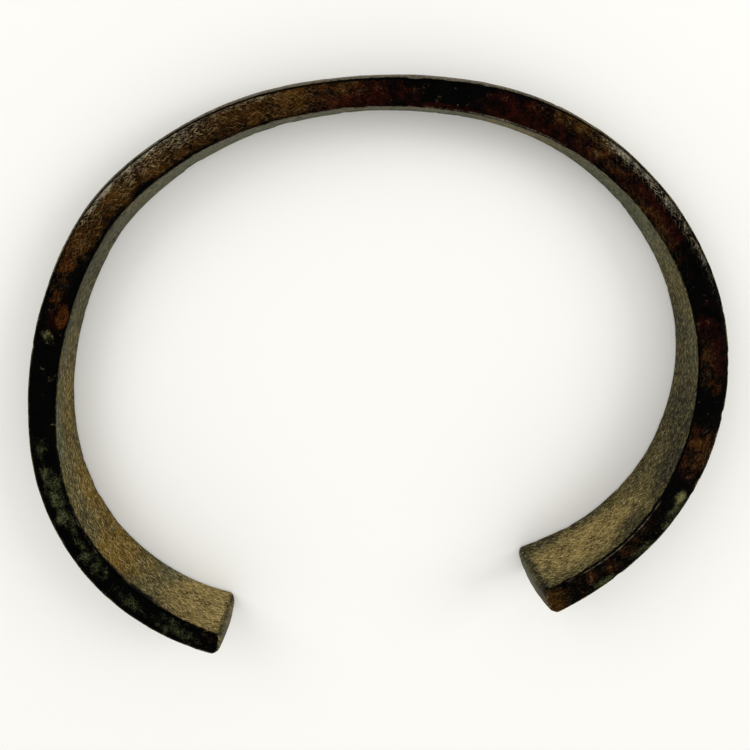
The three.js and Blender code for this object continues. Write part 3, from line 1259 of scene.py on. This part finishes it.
@dataclass
class Bangle:
    """The bangle's visible surface."""

    node: str = "bangle"
    body: str = "root"
    bar: Bar = field(default_factory=Bar)
    grid: ProfileGrid = field(default_factory=ProfileGrid)
    faces: FaceMap = field(default_factory=FaceMap)
    relief: ForgedRelief = field(default_factory=ForgedRelief)
    patches: tuple[Patch, ...] = PATCHES
    finish: IronPatina = field(default_factory=IronPatina)
    # How densely single scratches lie on the walls, the worn edge with its painted sheen and the brown
    # zones, and the share of them that grey and dark patches of the walls lose.
    wall_scratches: float = 0.8
    worn_scratches: float = 0.6
    brown_scratches: float = 0.12
    calmed: float = 0.65

    def surface(self) -> BarSurface:
        """Carries the section along the bar and closes its ends with low domes.

        A point is the rim's outer edge, plus its distance in across the bar, plus its
        distance along it, at its height. A dome shrinks the last section towards its
        middle and lifts it by 1 - s^2 of its shrinking share s.

        Returns:
            The surface.
        """
        bar, grid = self.bar, self.grid
        places = grid.places(bar)
        edge, heading = bar.outer_edge(places)
        into, up, along = grid.section(bar, places)
        turn = bar.left_cut.turn * bar.cut_share(places)
        turn = turn + bar.right_cut.turn * bar.cut_share(bar.length - places)
        inward = (heading - np.pi / 2.0 + np.radians(turn))[:, None]
        ahead = heading[:, None]
        x = edge[:, :1] + np.cos(inward) * into + np.cos(ahead) * along
        y = edge[:, 1:] + np.sin(inward) * into + np.sin(ahead) * along
        rows = np.stack([x, y, up], axis=-1)
        shrink = np.cos(np.linspace(0.0, np.pi / 2.0, grid.cap_rows + 1))[1:-1, None, None]

        def dome(end: np.ndarray, direction: float) -> np.ndarray:
            """Shrinks an end section to its middle, lifted out along the bar.

            Args:
                end: The end section.
                direction: The heading out of the bar's end, in radians.

            Returns:
                The dome's rows, from the end to its pole.
            """
            middle = end.mean(axis=0)
            out = np.array([np.cos(direction), np.sin(direction), 0.0]) * bar.terminal_dome
            return middle + (end - middle) * shrink + out * (1.0 - shrink**2)

        left = dome(rows[0], heading[0] + np.pi)[::-1]
        right = dome(rows[-1], heading[-1])
        rows = np.concatenate([left, rows, right])
        # The rows of a dome share the place, edge and heading of the end that they close.
        caps = len(left)
        places = np.pad(places, caps, mode="edge")
        edge = np.pad(edge, ((caps, caps), (0, 0)), mode="edge")
        heading = np.pad(heading, caps, mode="edge")
        level = rows[..., 2] / bar.size_at("height", places / bar.length)[:, None]
        places = np.repeat(places[:, None], rows.shape[1], axis=1)
        return BarSurface(rows, places, level, edge, heading)

    def rim_share(self, surface: BarSurface) -> np.ndarray:
        """Measures how far each point lies in from the rim's outer edge.

        Args:
            surface: The smooth surface.

        Returns:
            The distance of each point as a share of the bar's thickness.
        """
        into = surface.level_part(surface.rows[..., :2] - surface.edge[:, None, :], -np.pi / 2.0)
        share = surface.places[:, 0] / self.bar.length
        return into / self.bar.size_at("thickness", share)[:, None]

    def patina(
        self, surface: BarSurface, masks: dict[str, np.ndarray], rim_share: np.ndarray
    ) -> dict[str, np.ndarray]:
        """Lays the patches of patina on their faces.

        A patch is strongest in its middle and falls off as exp(-d^3 / 2) of its distance d,
        measured in its own half sizes. Where patches of a tone meet, the stronger counts.

        Args:
            surface: The smooth surface.
            masks: How far each point belongs to each face.
            rim_share: Each point's share across the rim.

        Returns:
            The strength of each tone at each point.
        """
        tones = {tone.value: np.zeros(surface.places.shape) for tone in Tone}
        for patch in self.patches:
            across = rim_share if patch.face is Face.RIM else 1.0 - surface.level
            d2 = ((surface.places - patch.at) / patch.reach) ** 2
            d2 = d2 + ((across - patch.across) / patch.spread) ** 2
            cover = patch.strength * np.exp(-0.5 * d2**1.5) * masks[patch.face.value]
            tones[patch.tone.value] = np.maximum(tones[patch.tone.value], cover)
        return tones

    def attributes(
        self, masks: dict[str, np.ndarray], tones: dict[str, np.ndarray]
    ) -> dict[str, np.ndarray]:
        """Works out what the material reads at each point.

        Args:
            masks: How far each point belongs to each face.
            tones: The strength of each tone.

        Returns:
            The tones, the walls, where single scratches show and where hues vary.
        """
        smooth = 1.0 - np.clip(tones["skin"] + tones["bare_and_sheen"], 0.0, 1.0)
        crusted = np.clip(np.maximum(tones["grey"], tones["dark"]), 0.0, 1.0)
        rubbed = masks["wall"] * self.wall_scratches * (1.0 - self.calmed * crusted)
        rubbed = rubbed + tones["worn"] * self.worn_scratches + tones["brown"] * self.brown_scratches
        rubbed = np.clip(rubbed, 0.0, 1.0) * smooth
        rusty = np.maximum(np.maximum(tones["red"], tones["brown"]), tones["rust"]) - tones["worn"]
        rusty = np.clip(rusty, 0.0, 1.0)
        return {"wall": masks["wall"], "rubbed": rubbed, "rusty": rusty, **tones}

    def forged_points(
        self, surface: BarSurface, masks: dict[str, np.ndarray], rim_share: np.ndarray
    ) -> np.ndarray:
        """Works the relief into the surface and stands it centred on the ground.

        Args:
            surface: The smooth surface.
            masks: How far each point belongs to each face.
            rim_share: Each point's share across the rim.

        Returns:
            The points in metres, row after row, and then the pole of each end's dome.
        """
        rows = surface.rows
        low, high = rows.min(axis=(0, 1)), rows.max(axis=(0, 1))
        shift = np.array([-(low[0] + high[0]) / 2.0, -(low[1] + high[1]) / 2.0, -low[2]])
        depth = self.relief.displace(rows, surface.places, surface.level, rim_share, masks)
        lowest, highest = (np.array(corner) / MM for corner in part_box(self.node))
        moved = rows + surface.normals() * depth[..., None] + shift
        # No swell may stand out past the solid's box.
        moved = np.clip(moved, lowest, highest)
        poles = np.stack([moved[0].mean(axis=0), moved[-1].mean(axis=0)])
        return np.concatenate([moved.reshape(-1, 3), poles]) * MM

    @staticmethod
    def polygons(count: int, ring: int) -> list[list[int]]:
        """Joins neighbouring rows by four-sided faces, and each end row to its pole by a fan.

        Args:
            count: The number of rows.
            ring: The number of points in a row.

        Returns:
            The faces' points, listed so that the faces point outwards.
        """
        first, around = np.meshgrid(np.arange(count - 1) * ring, np.arange(ring), indexing="ij")
        beside = (around + 1) % ring
        quads = np.stack(
            [first + around, first + beside, first + ring + beside, first + ring + around], axis=-1
        ).reshape(-1, 4)[:, ::-1]
        around, beside = around[0], beside[0]
        last = (count - 1) * ring
        left_pole = np.full(ring, count * ring)
        left = np.stack([left_pole, beside, around], axis=-1)[:, ::-1]
        right = np.stack([left_pole + 1, last + around, last + beside], axis=-1)[:, ::-1]
        return quads.tolist() + left.tolist() + right.tolist()

    def corner_uv(self, surface: BarSurface) -> np.ndarray:
        """Lays the UV map along the bar and around its section, with its seam under the foot.

        Args:
            surface: The smooth surface.

        Returns:
            Millimetres along and around, for each corner of each face.
        """
        rows, along = surface.rows, surface.places[:, 0]
        count, ring = surface.places.shape
        steps = np.linalg.norm(np.roll(rows, -1, axis=1) - rows, axis=-1)
        girth = np.concatenate([np.zeros((count, 1)), np.cumsum(steps, axis=1)], axis=1)
        rim_start = self.grid.foot // 2 + self.grid.corner * 2 + self.grid.wall
        girth = girth - girth[:, rim_start : rim_start + 1]
        s, i = np.meshgrid(np.arange(count - 1), np.arange(ring), indexing="ij")
        corners = ((0, 0), (0, 1), (1, 1), (1, 0))
        corner_along = np.stack([along[s + row] for row, _ in corners], axis=-1)
        corner_girth = np.stack([girth[s + row, i + step] for row, step in corners], axis=-1)
        parts = [
            (corner_along.reshape(-1, 4), corner_girth.reshape(-1, 4)),
            (np.zeros((ring, 3)), np.stack([girth[0, :-1], girth[0, 1:], girth[0, :-1]], axis=-1)),
            (
                np.full((ring, 3), self.bar.length),
                np.stack([girth[-1, :-1], girth[-1, :-1], girth[-1, 1:]], axis=-1),
            ),
        ]
        return np.concatenate(
            [np.stack(part, axis=-1)[:, ::-1].reshape(-1, 2) for part in parts]
        )

    def build(self) -> bpy.types.Object:
        """Makes the bangle's mesh, with its UV map, patina attributes and material.

        Returns:
            The finished piece, declared to the frame.
        """
        surface = self.surface()
        masks = self.faces.masks(surface, self.bar.length)
        rim_share = self.rim_share(surface)
        points = self.forged_points(surface, masks, rim_share)
        mesh = bpy.data.meshes.new("forged_bangle")
        mesh.from_pydata(points.tolist(), [], self.polygons(*surface.places.shape))
        mesh.shade_smooth()
        layer = mesh.uv_layers.new(name="bar")
        uv = self.corner_uv(surface) * UV_PER_MM
        layer.data.foreach_set("uv", uv.astype(np.float32).ravel())
        tones = self.patina(surface, masks, rim_share)
        for name, value in self.attributes(masks, tones).items():
            attribute = mesh.attributes.new(name, "FLOAT", "POINT")
            values = np.concatenate([value.ravel(), [value[0].mean(), value[-1].mean()]])
            attribute.data.foreach_set("value", values.astype(np.float32))
        mesh.materials.append(self.finish.material())
        piece = bpy.data.objects.new("forged_bangle", mesh)
        bpy.context.scene.collection.objects.link(piece)
        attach(piece, self.body)
        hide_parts(self.node)
        return piece


@dataclass(frozen=True)
class Softbox:
    """A square soft light that faces the bangle.

    Attributes:
        name: The light's name.
        heading: Its direction from the bangle in degrees, from +X.
        elevation: Its angle above the floor in degrees.
        distance: Its distance from the bangle.
        width: Its side.
        power: Its power in watts.
    """

    name: str
    heading: float
    elevation: float
    distance: float
    width: float
    power: float


@dataclass
class Studio:
    """Plain pale floor, soft lights and the camera at the photograph's angle."""

    floor_colour: str = "#f4f3ee"
    floor_roughness: float = 0.9
    floor_width: float = 900.0
    # The floor lies this far under the bangle's foot, so that the two share no plane.
    floor_drop: float = 0.02
    softboxes: tuple[Softbox, ...] = (
        Softbox("left_softbox", 131.0, 44.0, 600.0, 350.0, 0.7),
        Softbox("right_softbox", 9.5, 38.0, 600.0, 300.0, 0.85),
    )
    sky_horizon: float = 0.4
    sky_zenith: float = 1.05
    # The camera's place, the point on the floor that it looks at, and the heading in degrees
    # of the picture's upward direction.
    camera_at: tuple[float, float, float] = (0.145, 18.245, 94.476)
    camera_target: tuple[float, float, float] = (-0.069, -2.421, 0.0)
    picture_up: float = 82.55
    # A focal length of 935 of the picture's 750 pixels is 44.88 mm on a 36 mm wide sensor.
    lens: float = 44.88
    sensor_width: float = 36.0
    near_clip: float = 5.0

    def floor(self) -> None:
        """Lays the plain pale floor just under the bangle."""
        half = self.floor_width / 2.0 * MM
        level = -self.floor_drop * MM
        corners = [
            (x * half, y * half, level) for x, y in ((-1.0, -1.0), (1.0, -1.0), (1.0, 1.0), (-1.0, 1.0))
        ]
        mesh = bpy.data.meshes.new("studio_floor")
        mesh.from_pydata(corners, [], [(0, 1, 2, 3)])
        material = bpy.data.materials.new("pale_backing")
        material.use_nodes = True
        shader = material.node_tree.nodes["Principled BSDF"]
        shader.inputs["Base Color"].default_value = linear(self.floor_colour)
        shader.inputs["Roughness"].default_value = self.floor_roughness
        mesh.materials.append(material)
        floor = bpy.data.objects.new("studio_floor", mesh)
        bpy.context.scene.collection.objects.link(floor)

    def sky(self) -> None:
        """Lights the set like a white tent, brightest overhead."""
        world = bpy.data.worlds.new("soft_surround")
        world.use_nodes = True
        tree = world.node_tree
        direction = add_node(tree, "ShaderNodeTexCoord").outputs["Generated"]
        height = add_node(tree, "ShaderNodeSeparateXYZ", {0: direction}).outputs["Z"]
        strength = add_node(
            tree, "ShaderNodeMapRange",
            {"Value": height, "To Min": self.sky_horizon, "To Max": self.sky_zenith},
        ).outputs["Result"]
        tree.links.new(strength, tree.nodes["Background"].inputs["Strength"])
        tree.nodes["Background"].inputs["Color"].default_value = (1.0, 1.0, 1.0, 1.0)
        bpy.context.scene.world = world

    @staticmethod
    def hang(softbox: Softbox) -> None:
        """Hangs a soft light and turns it towards the bangle.

        Args:
            softbox: The light.
        """
        data = bpy.data.lights.new(softbox.name, "AREA")
        data.size = softbox.width * MM
        data.energy = softbox.power
        turn, rise = np.radians(softbox.heading), np.radians(softbox.elevation)
        away = Vector((np.cos(rise) * np.cos(turn), np.cos(rise) * np.sin(turn), np.sin(rise)))
        lamp = bpy.data.objects.new(softbox.name, data)
        lamp.location = away * softbox.distance * MM
        lamp.rotation_euler = away.to_track_quat("Z", "Y").to_euler()
        bpy.context.scene.collection.objects.link(lamp)

    def camera(self) -> None:
        """Sets the camera.

        Its back axis points from the target to it, and its up axis is the picture's heading,
        squared off against that.
        """
        place, target = Vector(self.camera_at) * MM, Vector(self.camera_target) * MM
        back = (place - target).normalized()
        up = Vector((np.cos(np.radians(self.picture_up)), np.sin(np.radians(self.picture_up)), 0.0))
        right = up.cross(back).normalized()
        data = bpy.data.cameras.new("camera")
        data.lens = self.lens
        data.sensor_width = self.sensor_width
        data.clip_start = self.near_clip * MM
        camera = bpy.data.objects.new("camera", data)
        turned = Matrix((right, back.cross(right), back)).transposed()
        camera.matrix_world = Matrix.Translation(place) @ turned.to_4x4()
        bpy.context.scene.collection.objects.link(camera)
        bpy.context.scene.camera = camera

    def build(self) -> None:
        """Sets up the floor, the sky, the soft lights and the camera."""
        # The photograph is a plain display picture with clipped whites and deep blacks.
        bpy.context.scene.view_settings.view_transform = "Standard"
        self.floor()
        self.sky()
        for softbox in self.softboxes:
            self.hang(softbox)
        self.camera()
        log.info("studio: floor, %d soft lights and the camera", len(self.softboxes))


def main() -> None:
    """Builds the studio and the bangle."""
    logging.basicConfig(level=logging.INFO, format="%(name)s: %(message)s")
    Studio().build()
    piece = Bangle().build()
    mesh = piece.data
    log.info("%s: %d points, %d faces", piece.name, len(mesh.vertices), len(mesh.polygons))


if __name__ == "__main__":
    main()
